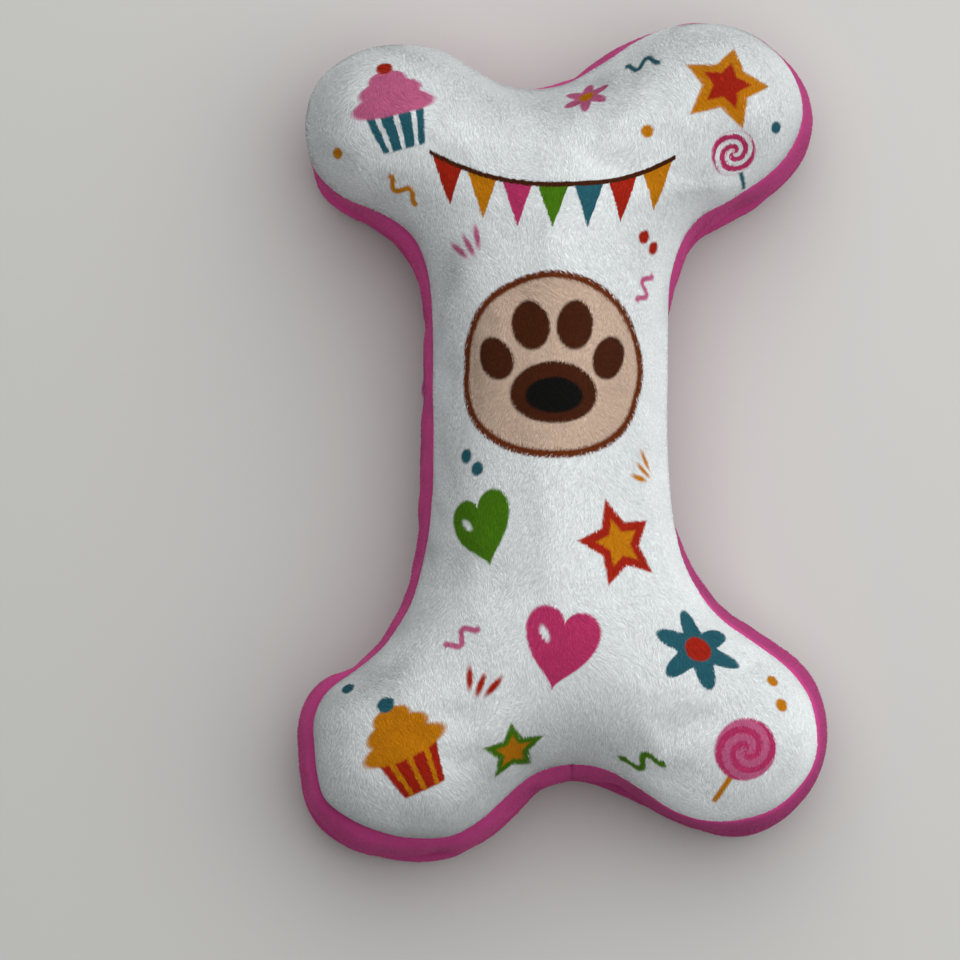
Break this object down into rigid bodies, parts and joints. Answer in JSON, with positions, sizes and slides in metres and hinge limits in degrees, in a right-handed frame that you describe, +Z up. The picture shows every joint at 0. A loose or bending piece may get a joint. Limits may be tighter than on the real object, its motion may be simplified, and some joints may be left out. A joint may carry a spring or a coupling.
{
  "type": "squeaky dog toy",
  "caption": "Stuffed plush bone for dogs, lying flat: printed front panel, pink side band, plain back panel, fibre stuffing and a squeaker bulb with a reed whistle inside.",
  "frame": {"origin": "centre of the toy's outline box, on the surface it lies on", "axes": "+Z up out of the printed front, +Y along the bone's length, +X across it"},
  "size_m": [0.1509, 0.2446, 0.0608],
  "materials": {
    "white_plush": "short-pile polyester plush, printed",
    "pink_plush": "short-pile polyester plush, dyed",
    "sewing_thread": "spun polyester thread",
    "polyester_fibre": "loose hollow fibre",
    "blown_polyethylene": "blow moulded, waxy",
    "whistle_polystyrene": "injection moulded",
    "reed_film": "thin polyester film"
  },
  "bodies": {
    "stuffed_body": {"back_panel": "pink_plush", "gusset_left": "pink_plush", "gusset_right": "pink_plush", "back_seam_thread": "sewing_thread", "gusset_join_upper": "sewing_thread", "gusset_join_lower": "sewing_thread", "closing_stitch": "sewing_thread", "squeaker_bulb": "blown_polyethylene", "whistle_sleeve": "whistle_polystyrene", "whistle_core": "whistle_polystyrene", "reed_clamp": "whistle_polystyrene", "filling_upper_right": "polyester_fibre", "filling_lower_right": "polyester_fibre", "filling_lower_left": "polyester_fibre", "filling_upper_left": "polyester_fibre", "filling_shaft_front": "polyester_fibre", "filling_shaft_back": "polyester_fibre"},
    "front_face": {"front_panel": "white_plush", "front_seam_thread": "sewing_thread"},
    "reed_tongue": {"reed": "reed_film"}
  },
  "joints": [
    {"name": "front_squeeze", "type": "slide", "parent": "stuffed_body", "child": "front_face", "axis": [0, 0, -1], "range_m": [0, 0.012], "stiffness_N_per_m": 600, "springref_m": -0.001, "deforming": ["gusset_left", "gusset_right", "gusset_join_upper", "gusset_join_lower", "squeaker_bulb", "filling_upper_right", "filling_lower_right", "filling_lower_left", "filling_upper_left", "filling_shaft_front", "filling_shaft_back"]},
    {"name": "reed_flutter", "type": "hinge", "parent": "stuffed_body", "child": "reed_tongue", "pos_m": [-0.0036, 0, 0.0173], "axis": [-1, 0, 0], "range_deg": [-2, 10], "stiffness_Nm_per_rad": 0.003}
  ]
}
